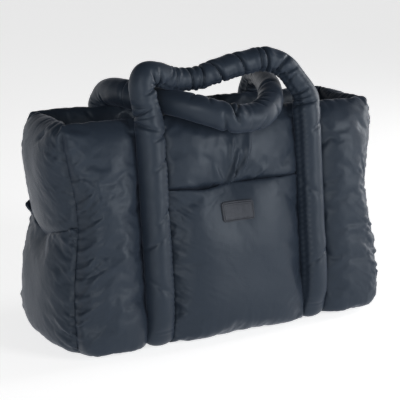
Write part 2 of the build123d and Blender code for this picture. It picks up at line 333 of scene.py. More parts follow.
def cloth_sheet(name, points, outward, *held, furthest=14 * MM):
    """A nylon sheet for the cloth run: its border and the points of the held masks are pinned."""
    piece = grid_piece(name, points, NYLON, outward)
    pinned = np.zeros(points.shape[:2], bool)
    pinned[[0, -1]] = True
    pinned[:, [0, -1]] = True
    for mask in held:
        pinned |= mask
    piece.vertex_groups.new(name="pin").add(np.flatnonzero(pinned).tolist(), 1, "REPLACE")
    CLOTHS.append((piece, furthest))
    return piece


def run_cloths():
    """Simulates every marked sheet together, caps how far a point moved, and keeps the result."""
    for piece, _ in CLOTHS:
        cloth = piece.modifiers.new("cloth", "CLOTH")
        cloth.point_cache.frame_end = CLOTH_FRAMES
        cloth.collision_settings.use_collision = False
        cloth.settings.effector_weights.gravity = 0
        for setting, value in CLOTH_SETTINGS.items():
            setattr(cloth.settings, setting, value)
    for number in range(1, CLOTH_FRAMES + 1):
        scene.frame_set(number)
    graph = bpy.context.evaluated_depsgraph_get()
    for piece, furthest in CLOTHS:
        settled = bpy.data.meshes.new_from_object(piece.evaluated_get(graph))
        before = vertex_values(piece.data)
        move = vertex_values(settled) - before
        bpy.data.meshes.remove(settled)
        far = np.linalg.norm(move, axis=1)
        scale = furthest * np.tanh(far / furthest) / np.maximum(far, 1e-9)
        place_vertices(piece.data, before + move * scale[:, None])
    for piece, _ in CLOTHS:
        piece.modifiers.clear()
        piece.vertex_groups.clear()
    scene.frame_set(1)


def subdivide(piece):
    """Splits each face in four and smooths the sheet."""
    modifier = piece.modifiers.new("subdivision", "SUBSURF")
    modifier.levels = modifier.render_levels = 1
    graph = bpy.context.evaluated_depsgraph_get()
    mesh = bpy.data.meshes.new_from_object(piece.evaluated_get(graph))
    old = piece.data
    piece.modifiers.clear()
    piece.data = mesh
    mesh.name = piece.name
    bpy.data.meshes.remove(old)


# ---- puckers ----
def pucker(along, distance, wavelength, reach, height, slant, seed):
    """Creases that run away from a seam: along follows the seam, distance is how far off it a point is.

    The wavelength, the reach and the height are in millimetres.
    """
    wavelength, reach, height = wavelength * MM, reach * MM, height * MM
    lines = (along - slant * distance) / wavelength
    values = noise_at(lines, distance / (3.4 * wavelength), seed * 3.7)
    patches = noise_at(along / (6 * wavelength), seed * 1.9, 4.2)
    strength = np.clip(0.7 + 1.1 * patches, 0.1, 1.3)
    fade = np.exp(-np.maximum(distance, 0) / reach) * smoothstep(-1 * MM, 3 * MM, distance)
    return height * strength * fade * (1.5 * values - 0.9 * bump(values, 0.10))


def displace(piece, shift):
    """Moves each point along its normal by shift(points), in place."""
    points, normals = vertex_values(piece.data), vertex_values(piece.data, "normal")
    place_vertices(piece.data, points + normals * shift(points)[:, None])


def press_corner_seams(piece):
    """Draws the cloth in along the corner seams; walls, ends and pockets move alike, so they still meet."""
    points = vertex_values(piece.data)
    x, y, z = points.T.copy()
    distance = np.hypot(seam_x(z) - np.abs(x), wall_half_depth(z) - np.abs(y))
    depth = 2.6 * MM * bump(distance, 3.4 * MM) * (1 - smoothstep(296 * MM, 312 * MM, z))
    depth *= smoothstep(0, 30 * MM, z)
    points[:, 0] -= np.sign(x) * depth * 0.75
    points[:, 1] -= np.sign(y) * depth * 0.65
    place_vertices(piece.data, points)


def wall_place(points):
    """How far up a wall and off its face each point is."""
    rise, out = points[:, 2] - FOOT_Z, np.abs(points[:, 1]) - BASE_HALF
    return (COS * rise - SIN * out, SIN * rise + COS * out)


# Folds that fan out from the front snap: start and end along the wall, height and width, in millimetres.
SNAP_RIDGES = [
    ((-13, 200), (6, 246), 11.0, 3.2), ((-6, 203), (14, 240), -4.5, 4.2), ((-10, 228), (-1, 270), 4.0, 3.4),
    ((11, 214), (28, 276), 5.0, 3.8), ((22, 202), (54, 218), 4.5, 3.4), ((-20, 202), (-40, 236), 1.6, 6.0),
    ((2, 204), (30, 232), -2.5, 4.6), ((-56, 199), (-90, 212), 1.2, 5.0)]


def ridge(x, up, start, end, height, width):
    """A fold along a line: highest a third of the way along it, fading to its end, steeper to the right."""
    a, b = np.array(start) * MM, np.array(end) * MM
    length = np.linalg.norm(b - a)
    along = ((x - a[0]) * (b - a)[0] + (up - a[1]) * (b - a)[1]) / length ** 2
    across = ((x - a[0]) * (b - a)[1] - (up - a[1]) * (b - a)[0]) / length
    fade = smoothstep(-0.12, 0.22, along) * (1 - smoothstep(0.35, 1.1, along))
    spread = width * MM * (0.6 + 0.7 * np.clip(along, 0, 1)) * np.where(across > 0, 0.55, 1.5)
    return height * fade * bump(across, spread) * MM


def corner_puckers(along, corner, z, reach, broad, slant, seed):
    """The two scales of pucker along a corner seam, calmer at the rim; broad is the wider scale's numbers."""
    total = pucker(along, corner, 6, reach, 3.0, slant, seed) + pucker(along, corner, 12, *broad)
    return total * (1 - 0.8 * smoothstep(276 * MM, 304 * MM, z))


def wall_puckers(seed, ridges=()):
    def shift(points):
        up, off = wall_place(points)
        x, z = points[:, 0], points[:, 2]
        leg = np.abs(np.abs(x) - LEG_X) - LEG_STRIP_HALF
        total = corner_puckers(up, seam_x(z) - np.abs(x), z, 18, (26, 1.6, 0.5, seed + 4), 0.8, seed)
        total += pucker(up, leg, 13, 12, 1.1, 0.5, seed + 1)
        total += pucker(x, z, 13, 16, 1.0, 0.2, seed + 2)
        total += pucker(x, WALL_LENGTH + 6 * MM - up, 12, 12, 0.8, 0.3, seed + 3)
        for fold in ridges:
            total += ridge(x, up, *fold)
        return total * smoothstep(-14 * MM, -4 * MM, off)
    return shift


def end_puckers(seed, mouth):
    def shift(points):
        y, z = points[:, 1], points[:, 2]
        corner = wall_half_depth(z) - np.abs(y)
        total = corner_puckers(z, corner, z, 20, (24, 1.4, 0.5, seed + 3), 0.7, seed)
        total += pucker(y, np.abs(mouth(y, z)), 11, 12, 1.5, 0.2, seed + 1)
        return total + pucker(y, z, 12, 14, 1.0, 0.2, seed + 2)
    return shift


def front_pocket_puckers(points, seed=61):
    up = wall_place(points)[0]
    x = points[:, 0]
    total = pucker(up, 108 * MM - np.abs(x), 8, 24, 2.2, -0.6, seed) * np.where(x < 0, 1, 0.4)
    total += pucker(x, 201 * MM - up, 14, 12, 0.8, 0.3, seed + 1)
    return total + pucker(x, up + 14 * MM, 13, 16, 1.0, 0.2, seed + 2)


def below_rim(y, z):
    return 318 * MM - z


def below_mouth(y, z):
    return end_mouth_z(y / wall_half_depth(z)) - z


# ---- walls and ends ----
PANEL_STEP = 4.0 * MM
WALL_THICKNESS, END_THICKNESS = 25 * MM, 22 * MM
LEG_TOP = 285 * MM  # how far up a wall its legs are sewn down
WIDTH_KNEE = 150 * MM  # a wall stretches to its seams beyond this x
RIM_SLIT_Z = 297 * MM  # height of the dent in an end's rim

# Sections, in millimetres, from the bottom seam up, over the rim and down to the facing's lower edge.
WALL_CROWN = [(-9, -15), (9, -15.8), (20, -12), (24.5, 0), (26.5, 24), (26, 60), (26, 120), (25.5, 180),
              (24.5, 226), (21, 258), (14.5, 282), (5, 297), (-4, 302.5), (-12, 299), (-18.5, 284),
              (-25, 262)]
END_CROWN = [(-9, 2.5), (3, 2.5), (10, 8), (15, 20), (17, 42), (17, 76), (17, 134), (20, 192),
             (22, 240), (20, 274), (12, 300), (1, 313), (-10, 317), (-18, 311), (-22, 297), (-22, 278)]
# The seam between a wall and an end: how far in from both outer faces, and the height.
CORNER_SEAM = [(18, 3), (14, 3.5), (8, 9), (2, 22), (0, 44), (0, 78), (0, 137), (0, 196),
               (0, 244), (0, 278), (0.3, 302), (1.6, 313), (6.5, 317), (13, 312), (19, 300), (25, 278)]


def wall_panel(name, side, seed):
    """The cover of the front or back wall, with its rolled rim and the facing inside."""
    crown, seam = profile_pair(WALL_CROWN, CORNER_SEAM, PANEL_STEP)
    flat_x = np.linspace(-HALF_WIDTH, HALF_WIDTH, round(2 * HALF_WIDTH / PANEL_STEP) + 1)[None, :]
    wide = np.abs(flat_x)
    from_leg = np.abs(wide - LEG_X)
    inset, seam_z = seam[:, :1], seam[:, 1:]
    up_crown = crown[:, 1:]
    outside = np.cumsum(np.ones_like(up_crown), 0) <= np.argmax(up_crown) + 1

    # How much of the crown each point has: less under the legs and behind the pocket, all of it inside.
    inner, outer = LEG_X - LEG_STRIP_HALF, LEG_X + LEG_STRIP_HALF
    middle = wide < inner
    in_middle = 0.95 * pillow(flat_x / inner, 9, 0.5)
    in_column = pillow((wide - (outer + HALF_WIDTH) / 2) / ((HALF_WIDTH - outer) / 2), 3.6, 0.6)
    under_leg = -0.12 + 0.62 * (1 - smoothstep(-4 * MM, 26 * MM, up_crown))
    full = np.where(middle, in_middle, np.where(wide > outer, in_column, under_leg))
    above_pocket = smoothstep(190 * MM, 207 * MM, up_crown) if side == FRONT else 1
    low = 0.05 + 0.24 * smoothstep(20 * MM, 190 * MM, up_crown)
    share = full * np.where(middle, low + (1 - low) * above_pocket, 1.0)
    all_across = pillow(flat_x / HALF_WIDTH, 14, 0.5)
    share = np.maximum(share, smoothstep(262 * MM, 290 * MM, up_crown) * all_across * 0.86)
    share = np.where(outside, share, all_across)

    off, up = between(np.hstack([-inset, up_wall(seam_z, -inset)]), crown, share)
    reach = seam_x(seam_z) - inset * END_THICKNESS / WALL_THICKNESS
    beyond = WIDTH_KNEE + (wide - WIDTH_KNEE) / (HALF_WIDTH - WIDTH_KNEE) * (reach - WIDTH_KNEE)
    points = wall(side, np.sign(flat_x) * np.where(wide > WIDTH_KNEE, beyond, wide), up, off)

    from_seams = np.minimum(np.minimum(HALF_WIDTH - wide, from_leg), np.abs(up_crown + 15 * MM))
    rough = roughness_field(points, 45 * MM, seed)
    fine = roughness_field(points, 13 * MM, seed + 1)
    lift = (1.6 * MM * rough + 0.7 * MM * fine) * smoothstep(0, 30 * MM, from_seams) * share
    points = points + lift[..., None] * np.array([0, side * COS, SIN])

    held = [(from_leg < LEG_STRIP_HALF + 0.1 * MM) & (up_crown < LEG_TOP) & outside]
    if side == FRONT:
        at_snap = (np.abs(flat_x - SNAP_X) < 8 * MM) & (np.abs(up_crown - SNAP_UP) < 6 * MM)
        held += [middle & (up_crown < 188 * MM) & outside, at_snap & outside]
    return cloth_sheet(name, points, (0, side, 0), *held)


def end_panel(name, side, seed):
    """The cover of an end: it puffs over the pocket's mouth, and its rim is dented near the front."""
    crown, seam = profile_pair(END_CROWN, CORNER_SEAM, PANEL_STEP)
    s = np.linspace(-1, 1, round(2 * BASE_HALF * 0.86 / PANEL_STEP) + 1)[None, :]
    z_crown = crown[:, 1:]
    inset, z_seam = seam[:, :1], seam[:, 1:]
    outside = np.cumsum(np.ones_like(z_crown), 0) <= np.argmax(z_crown) + 1

    mouth = end_mouth_z(s)
    above_pocket = smoothstep(-26 * MM, 10 * MM, z_crown - mouth)
    share = pillow(s, 3.4, 0.6) * (0.08 + 0.92 * np.where(outside, above_pocket, 1))
    edge = np.hstack([-inset * END_THICKNESS / WALL_THICKNESS, z_seam])
    out, z = between(edge, crown, share)
    slit = s + 0.34 + (z - RIM_SLIT_Z) / (60 * MM)
    out = out - 6 * MM * bump(slit, 0.06) * bump(z - RIM_SLIT_Z, 7 * MM) * np.where(outside, 1, 0)

    half = wall_half_depth(z_seam) - inset / COS
    points = stacked(side * (seam_x(z_seam) + out), s * half, z)
    from_seams = (1 - np.abs(s)) * BASE_HALF * 0.8
    rough = roughness_field(points, 40 * MM, seed)
    points[..., 0] += side * 1.8 * MM * rough * smoothstep(0, 25 * MM, from_seams) * share
    return cloth_sheet(name, points, (side, 0, 0), (z_crown < mouth - 30 * MM) & outside)


def end_mouth_z(s):
    """Height of an end pocket's mouth: it dips to its snap in the middle. s is -1 at the front seam."""
    dip = 20 * MM * pillow(s, 1.6, 1.0)
    return (183 + 2 * s + 11 * bump(s - 0.78, 0.26)) * MM - dip


# ---- outside pockets ----
POCKET_STEP = 3.7 * MM
POCKET_CROWN = [(-9, -15), (11, -16.2), (24, -12.5), (29.5, -1), (32, 22), (32, 60), (31, 110), (29.5, 150),
                (28, 178), (26.5, 193), (24.5, 200.5), (21.5, 201.5), (19, 196), (17.5, 184)]
POCKET_EDGE = [(-9, -15), (5, -15.5), (10, -11), (11, 2), (11, 24), (11, 60), (11, 110), (11, 150),
               (11, 178), (11.5, 194), (12, 200), (11, 200.5), (10, 195), (9.5, 184)]
POCKET_HALF = 109 * MM


def front_pocket():
    """The front pocket's panel: a soft pillow from the bottom seam to a rolled mouth that a snap pinches."""
    crown, edge = profile_pair(POCKET_CROWN, POCKET_EDGE, POCKET_STEP)
    x = np.linspace(-POCKET_HALF, POCKET_HALF, 2 * round(POCKET_HALF / POCKET_STEP) + 1)[None, :]
    from_snap = x - SNAP_X
    full = pillow(x / POCKET_HALF, 4.5, 0.6)
    off, up = between(edge, crown, full)
    near_mouth = smoothstep(120 * MM, 198 * MM, up)
    at_mouth = smoothstep(165 * MM, 199 * MM, up)
    off = off - (5.5 * bump(from_snap, 17 * MM) * at_mouth + 2 * bump(from_snap, 45 * MM) * near_mouth) * MM
    up = up + (1.5 * bump(from_snap, 14 * MM) - 4.5 * bump(x + 52 * MM, 34 * MM)) * MM * at_mouth
    points = wall(FRONT, x, up, off)
    points[..., 1] -= 1.6 * MM * roughness_field(points, 50 * MM, 31) * full
    at_snap = (up > 190 * MM) & (np.abs(from_snap) < 5 * MM)
    return cloth_sheet("front_pocket_panel", points, (0, FRONT, 0), at_snap, furthest=8 * MM)


END_POCKET_CROWN = [(-8, 0), (6, 0), (13, 5), (17, 19), (18.5, 45), (19, 80), (19, 115), (18.5, 140),
                    (17.5, 152), (15.5, 157.5), (12, 158.5), (9.5, 155), (9, 147), (8.5, 137)]
END_POCKET_EDGE = [(-15, 0), (-11, 0.5), (-6, 6), (-1, 19), (0.6, 41), (0.6, 75), (0.6, 110), (0.6, 135),
                   (0.6, 148), (0.5, 155), (0.3, 158), (0, 156), (-0.5, 150), (-1, 140)]
END_POCKET_HEIGHT = 158.5 * MM
END_SNAP_INSET = 10 * MM


def end_pocket(name, side, seed):
    """An end pocket's panel, sewn into both corner seams, with a dipping mouth held by a snap."""
    crown, edge = profile_pair(END_POCKET_CROWN, END_POCKET_EDGE, POCKET_STEP)
    s = np.linspace(-1, 1, 2 * round(BASE_HALF * 0.88 / POCKET_STEP) + 1)[None, :]
    full = pillow(s, 2.8, 0.62)
    out, rise = between(edge, crown, full)
    rise = rise / END_POCKET_HEIGHT
    foot = 3 * MM
    z = foot + rise * (end_mouth_z(s) - foot)
    pinch = 6 * bump(s + 0.05, 0.17) * smoothstep(0.72, 1.0, rise)
    flare = (11 * bump(s - 0.72, 0.15) + 2 * bump(s + 0.6, 0.22)) * smoothstep(0.88, 1.0, rise)
    out = out + (flare - pinch) * MM
    seam_inset, seam_height = np.array(CORNER_SEAM[:9]).T * MM
    y = s * (wall_half_depth(z) - np.interp(z, seam_height, seam_inset) / COS)
    points = stacked(side * (seam_x(z) + out), y, z)
    points[..., 0] += side * 1.8 * MM * roughness_field(points, 38 * MM, seed) * full
    at_snap = (rise > 0.95) & (np.abs(s + 0.05) < 0.06)
    return cloth_sheet(name, points, (side, 0, 0), at_snap, furthest=10 * MM)


def split_for_blend(piece, axis, suffixes):
    """Cuts a mesh at the plane where axis is 0 into two pieces that keep its smooth shading at the cut."""
    mesh = piece.data
    points, normals = vertex_values(mesh), vertex_values(mesh, "normal")
    halves = []
    for sign, suffix in zip((-1, 1), suffixes):
        keep = [p for p in mesh.polygons if sign * sum(points[v][axis] for v in p.vertices) > 0]
        used = sorted({v for p in keep for v in p.vertices})
        renumber = {v: i for i, v in enumerate(used)}
        faces = [[renumber[v] for v in p.vertices] for p in keep]
        half = new_mesh(f"{piece.name}_{suffix}", points[used], faces, mesh.materials[0])
        half.data.normals_split_custom_set_from_vertices([tuple(normals[v]) for v in used])
        halves.append(half)
    bpy.data.objects.remove(piece)
    return halves


# ---- handles ----
def transported_frames(path, first_normal):
    """Unit tangents, normals and binormals along a path, with no twist."""
    tangents = np.gradient(path, axis=0)
    tangents /= np.linalg.norm(tangents, axis=1)[:, None]
    normals = np.zeros_like(path)
    normal = np.array(first_normal, float)
    for i, tangent in enumerate(tangents):
        normal = normal - tangent * normal.dot(tangent)
        normal /= np.linalg.norm(normal)
        normals[i] = normal
    return tangents, normals, np.cross(tangents, normals)


LEG_RADIUS = 20 * MM
PATH_STEP, AROUND = 1.5 * MM, 36  # how finely a tube is cut along and around
CREASE_DEPTH = 1.35  # deepens every crease of the tables below


def turn(angle, centre):
    """The angle from centre, between minus pi and pi."""
    return (angle - centre + math.pi) % (2 * math.pi) - math.pi


def rings(path, along_normals, along_binormals, normals, binormals):
    """Points around a path, from how far each lies along the path's normal and its binormal."""
    return (path[:, None, :] + along_normals[..., None] * normals[:, None, :]
            + along_binormals[..., None] * binormals[:, None, :])


def handle_tube(name, side, loop, creases, seam_angle, seed):
    """A stuffed tube up one leg, round the loop and down the other, puckered along its seam.

    A crease is (x, y, z, facing, reach in degrees, depth, width, slant): it dents the tube where its middle
    is nearest to x, y, z, deepest on the side that looks along facing. Sizes are in millimetres.
    """
    off = np.array([-3, 5, 9, 14] + [17] * 9) * MM
    legs_up = np.array([-10, -3, 11, 32] + list(np.linspace(58, 292, 9))) * MM
    thick = np.full((len(off), 1), LEG_RADIUS)
    left = np.hstack([wall(side, -LEG_X, legs_up, off), thick])
    right = np.hstack([wall(side, LEG_X, legs_up[::-1], off[::-1]), thick])
    path = smooth_curve(np.vstack([left, np.array(loop) * MM, right]), PATH_STEP, 4)
    path, radius = path[:, :3], path[:, 3:]
    tangents, normals, binormals = transported_frames(path, (0, side * COS, SIN))
    length = run_length(path)
    angles = np.linspace(-math.pi, math.pi, AROUND, endpoint=False)[None, :]
    s = length[:, None]

    # Where the path bends tightly, the cloth bunches on the inside of the bend.
    bend = np.gradient(tangents, axis=0) / np.gradient(length)[:, None]
    inner = np.arctan2((bend * binormals).sum(1), (bend * normals).sum(1))[:, None]
    tight = np.clip(np.linalg.norm(bend, axis=1) * 0.030, 0, 1)
    tight = np.convolve(tight, np.ones(15) / 15, "same")[:, None]

    smooth = rings(path, radius * np.cos(angles), radius * np.sin(angles), normals, binormals)
    broad = roughness_field(smooth, 42 * MM, seed)
    r = radius + 0.9 * MM * broad + 0.35 * MM * roughness_field(smooth, 13 * MM, seed + 3)
    seam = turn(angles, seam_angle)
    wander = roughness_field(path, 60 * MM, seed + 5)[:, None]
    tuck = 0.5 + 0.5 * np.sin(s / (8.5 * MM) * 2 * math.pi + 5 * wander)
    r -= (1.5 * MM + 1.4 * MM * tuck) * bump(seam, 0.15)
    r += 0.9 * MM * tuck * bump(np.abs(seam) - 0.42, 0.22)
    waves = np.sin(s / (10.5 * MM) * 2 * math.pi + 4 * broad + 0.8 * np.abs(seam))
    r += 1.9 * MM * waves * tight * bump(turn(angles, inner), 1.0)
    for x, y, z, facing, reach, depth, width, slant in creases:
        nearest = np.argmin(np.linalg.norm(path - np.array((x, y, z)) * MM, axis=1))
        centre = math.atan2(np.dot(facing, binormals[nearest]), np.dot(facing, normals[nearest]))
        turned = turn(angles, centre)
        u = (s - length[nearest] - slant * MM * turned) / (width * MM)
        window = np.cos(np.clip(turned / math.radians(reach), -1, 1) * math.pi / 2) ** 0.9
        r -= CREASE_DEPTH * depth * MM * window * (bump(u, 0.56) - 0.20 * bump(np.abs(u) - 2.4, 1.6))

    # The ends are rounded, and flattened where they are sewn to the foot of the wall.
    ends = np.minimum(s, length[-1] - s)
    r *= 0.5 + 0.5 * np.sqrt(np.clip(ends / (8 * MM), 0, 1))
    foot = 1 - smoothstep(0, 42 * MM, ends)
    points = rings(path, r * np.cos(angles) * (1 - 0.38 * foot), r * np.sin(angles) * (1 + 0.12 * foot),
                   normals, binormals)
    rows = len(path)
    faces = grid_faces(rows, AROUND, wrap=True)
    faces += [tuple(range(AROUND)), tuple(range((rows - 1) * AROUND, rows * AROUND))[::-1]]
    piece = new_mesh(name, points.reshape(-1, 3), faces, NYLON)
    if piece.data.polygons[0].normal.dot(Vector(points[0, 0] - path[0])) < 0:
        piece.data.flip_normals()
    return piece


CAMERA_SIDE = (-0.46, -0.86, 0.2)
# The loops' middles, with the stuffed tube's radius there: x, y, z and radius.
FRONT_LOOP = [(-127, -77, 324, 19), (-132, -75, 346, 18.2), (-134, -73, 365, 17.4), (-127, -70, 377, 17),
              (-108, -66, 377, 16.4), (-84, -62, 368, 16), (-59, -60, 365, 15.8), (-38, -60, 366, 16.4),
              (-17, -60, 372, 17), (22, -60, 380, 17.2), (63, -62, 385, 17), (93, -66, 375, 16.6),
              (113, -71, 352, 17), (126, -76, 330, 18.6)]
BACK_LOOP = [(-125, 77, 320, 18.6), (-123, 62, 334, 19), (-118, 28, 338, 20.4), (-105, -10, 335, 19.6),
             (-92, -46, 336, 18.4), (-74, -74, 333, 18.4), (-48, -94, 325, 19), (-16, -104, 314, 19),
             (8, -104, 312, 19.2), (36, -100, 314, 19), (64, -80, 324, 18), (84, -48, 337, 17.4),
             (99, -10, 343, 17), (113, 28, 347, 17), (123, 62, 340, 17.5), (126, 77, 322, 18.5)]
FRONT_CREASES = [
    (-84, -62, 368, CAMERA_SIDE, 80, 2.0, 2.4, 3), (-58, -60, 365, CAMERA_SIDE, 110, 3.6, 2.4, 3),
    (-47, -60, 366, (-0.3, -0.8, -0.5), 80, 2.6, 2.2, -3), (-39, -60, 366, CAMERA_SIDE, 120, 4.2, 2.6, -3),
    (-16, -60, 372, (-0.2, -0.8, 0.2), 130, 5.0, 2.8, 5), (22, -60, 380, (-0.2, -0.7, 0.5), 125, 4.8, 2.8, 4),
    (52, -61, 384, CAMERA_SIDE, 110, 3.0, 2.2, 0), (61, -62, 385, (-0.2, -0.7, 0.6), 130, 5.2, 2.8, 3),
    (84, -64, 380, (-0.3, -0.9, -0.3), 105, 4.2, 2.8, -5),
    (97, -67, 371, (-0.6, -0.7, -0.4), 90, 3.4, 2.8, -6),
    (106, -69, 361, (-0.6, -0.7, -0.4), 60, 2.0, 2.4, 4), (121, -74, 340, (-0.9, -0.4, 0), 70, 2.6, 2.8, 0),
    (-127, -76, 328, (-1, -0.3, 0), 75, 3.2, 3.0, 5), (-126, -78, 310, (-0.9, -0.5, 0), 85, 3.4, 3.2, -6),
    (-131, -75, 340, (-0.8, -0.6, 0), 60, 2.2, 2.6, -4), (-132, -73, 358, (1, -0.4, -0.2), 85, 3.4, 2.8, 3),
    (-125, -70, 374, (0.7, -0.5, -0.6), 85, 4.2, 3.0, 0),
    (-109, -67, 376, (0.2, -0.6, -0.8), 85, 3.4, 2.8, 3),
    (-97, -65, 373, (0.1, -0.8, -0.5), 70, 2.4, 2.4, -4), (127, -78, 318, (-0.8, -0.6, 0), 80, 3.2, 2.8, 4),
    (-126, -80, 296, (0.8, -0.6, 0), 70, 2.4, 4, 6), (-127, -90, 262, (0.7, -0.7, 0), 70, 1.8, 5, 12),
    (-127, -100, 190, (0.6, -0.8, 0), 60, 1.5, 6, 14), (127, -84, 290, (0.7, -0.7, 0), 60, 2.0, 5, 10),
    (127, -98, 200, (-0.5, -0.9, 0), 60, 1.5, 6, -14), (127, -110, 100, (0.2, -1, 0), 80, 1.6, 6, 10),
    (-127, -112, 90, (-0.3, -1, 0), 70, 1.6, 6, -12), (-127, -104, 150, (-0.6, -0.8, 0), 60, 1.4, 5, 10),
]
BACK_CREASES = [
    (-19, -104, 313, (0, -0.3, 1), 95, 7.5, 3.4, 8), (-8, -105, 312, (-0.3, -0.2, 0.9), 60, 3.0, 2.6, -8),
    (30, -102, 313, (0, 0.4, 0.8), 75, 3.0, 2.6, 5), (42, -97, 316, (-0.5, 0.5, 0.6), 80, 3.4, 2.6, 3),
    (54, -90, 320, (-0.6, 0.5, 0.5), 70, 2.8, 2.4, 0), (66, -78, 325, (-0.8, 0.5, 0.4), 90, 4.4, 2.8, 0),
    (80, -56, 334, (-0.9, 0.2, 0.4), 80, 3.2, 2.8, 3), (-50, -92, 326, (0.2, 0.3, 0.9), 70, 2.4, 2.6, 4),
    (-62, -84, 330, (0.2, 0.1, 0.9), 60, 2.0, 2.4, -4), (-84, -56, 337, (0.8, 0.5, 0.3), 80, 3.2, 2.8, 0),
    (-20, -103, 314, (0, -0.6, -0.8), 80, 2.6, 4, 8), (24, -104, 313, (0, -0.6, -0.8), 70, 2.4, 4, -8),
    (52, -92, 319, (0.4, -0.8, -0.3), 60, 2.0, 3, 4), (-122, 56, 342, (0, -0.4, -0.9), 85, 3.8, 2.8, 0),
    (122, 56, 342, (0, -0.4, -0.9), 85, 3.8, 2.8, 0), (-126, 78, 306, (0, 1, 0.2), 80, 3.0, 3, 3),
    (126, 78, 300, (0, 1, 0.2), 80, 3.0, 3, -3), (-112, 10, 345, (-0.6, -0.6, 0.6), 80, 2.6, 2.6, 4),
    (106, 10, 345, (-0.6, -0.6, 0.6), 80, 2.8, 2.6, -4),
]


# ---- base and linings ----
def base_panel():
    """The base cover: a rounded rectangle, flat where it stands and curling up to the walls' bottom seams."""
    u = np.linspace(-1, 1, 97)[None, :]
    v = np.linspace(-1, 1, 41)[:, None]
    corner = (np.abs(u) ** 10) * (np.abs(v) ** 10)
    x = u * (HALF_WIDTH - 13 * MM) * (1 - 0.020 * corner)
    y = v * (BASE_HALF - 4 * MM) * (1 - 0.055 * corner)
    edge = np.minimum((1 - np.abs(u)) * HALF_WIDTH, (1 - np.abs(v)) * BASE_HALF)
    z = 0.5 * MM + 3.0 * MM * (1 - smoothstep(0, 16 * MM, edge))
    z = z + 0.5 * MM * (1 + roughness_field(stacked(x, y, z), 50 * MM, 51))
    return grid_piece("base_panel", stacked(x, y, z), NYLON, (0, 0, -1))


LINING_TOP = 268 * MM  # up the wall, where the facing begins


def wall_lining(name, side, seed):
    """The lining of a wall, from the facing down to the base, slightly slack."""
    up = np.linspace(0, LINING_TOP, 45)[:, None]
    z = FOOT_Z + up * COS
    t = np.linspace(-1, 1, 81)[None, :]
    x = t * (seam_x(z) - END_THICKNESS + 1 * MM)
    slack = 0.5 + 0.5 * roughness_field(wall(side, x, up, -WALL_THICKNESS), 55 * MM, seed)
    free = pillow(t, 10, 0.5) * pillow((up - LINING_TOP / 2) / (LINING_TOP / 2), 8, 0.5)
    return grid_piece(name, wall(side, x, up, -25.2 * MM + 3.0 * MM * slack * free), LINING, (0, -side, 0))


def end_lining(name, side, seed):
    """The lining of an end, between the linings of the walls."""
    z = np.linspace(FOOT_Z, 286 * MM, 45)[:, None]
    s = np.linspace(-1, 1, 33)[None, :]
    points = stacked(side * (seam_x(z) - END_THICKNESS), s * (wall_half_depth(z) - 24.5 * MM), z)
    slack = 0.5 + 0.5 * roughness_field(points, 45 * MM, seed)
    free = pillow(s, 8, 0.5) * pillow((z - 150 * MM) / (137 * MM), 8, 0.5)
    points[..., 0] += side * 3.0 * MM * slack * free
    return grid_piece(name, points, LINING, (-side, 0, 0))


def base_lining():
    """The lining that lies on the base board."""
    x = np.linspace(-226, 226, 81)[None, :] * MM
    y = np.linspace(-73, 73, 33)[:, None] * MM
    z = 18.3 * MM + 0.9 * MM * (1 + roughness_field(stacked(x, y, 0), 60 * MM, 61))
    return grid_piece("base_lining_cloth", stacked(x, y, z), LINING, (0, 0, 1))


def slip_pocket():
    """The inner slip pocket: a panel gathered into ribbed elastic along its mouth."""
    low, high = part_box("slip_pocket_panel")
    foot, hem, top = (up_wall(z) for z in (low.z, high.z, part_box("slip_pocket_elastic")[1].z))
    x = np.linspace(-high.x, high.x, 145)[None, :]
    up = np.linspace(foot, hem, 37)[:, None]
    gather = smoothstep(foot + 10 * MM, hem, up)
    uneven = roughness_field(stacked(x, 0, 0), 60 * MM, 71)
    pleats = np.sin(x / (15 * MM) * 2 * math.pi + 2.5 * uneven)
    slack = pillow(x / high.x, 6, 0.5)
    belly = pillow((up - foot) / (hem - foot) * 2 - 1, 3, 0.6)
    off = -25.6 * MM - (2.2 + 1.6 * pleats * gather + 1.6 * belly) * MM * slack
    panel = grid_piece("slip_pocket_cloth", wall(BACK, x, up, off), LINING, (0, -1, 0))
    band = np.linspace(hem - 1 * MM, top, 7)[:, None]
    off = -26.0 * MM - (2.4 + 0.9 * pleats) * MM * slack
    return panel, grid_piece("slip_pocket_band", wall(BACK, x, band, off), ELASTIC, (0, -1, 0))


def zip_pocket():
    """The slack panel of the inner zip pocket, below and around its zip."""
    low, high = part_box("zip_pocket_panel")
    foot, top = up_wall(low.z), up_wall(high.z)
    x = np.linspace(low.x, high.x, 61)[None, :]
    up = np.linspace(foot, top, 37)[:, None]
    t = np.clip((up - foot) / (0.70 * (top - foot)), 0, 1) * 2 - 1
    bag = pillow(x / high.x, 5, 0.6) * pillow(t, 3, 0.7)
    uneven = roughness_field(wall(FRONT, x, up, -WALL_THICKNESS), 40 * MM, 81)
    off = -25.25 * MM - bag * (1.6 + 0.9 * uneven) * MM
    return grid_piece("zip_pocket_cloth", wall(FRONT, x, up, off), LINING, (0, 1, 0))


# ---- the label ----
LABEL_HALF_X, LABEL_HALF_UP, LABEL_CORNER = 25 * MM, 14 * MM, 4.6 * MM
LABEL_GROOVES = ((2.5 * MM, 1.1 * MM), (5.0 * MM, 0.3 * MM))  # how far in from the edge, and how deep


def label_relief(depth):
    """How far the label stands off the cloth, by the distance from its edge."""
    lift = 2.3 * MM * math.sqrt(min(1.0, max(0.0, depth) / (0.9 * MM)))
    return lift - sum(deep * bump(depth - middle, 0.7 * MM) for middle, deep in LABEL_GROOVES)


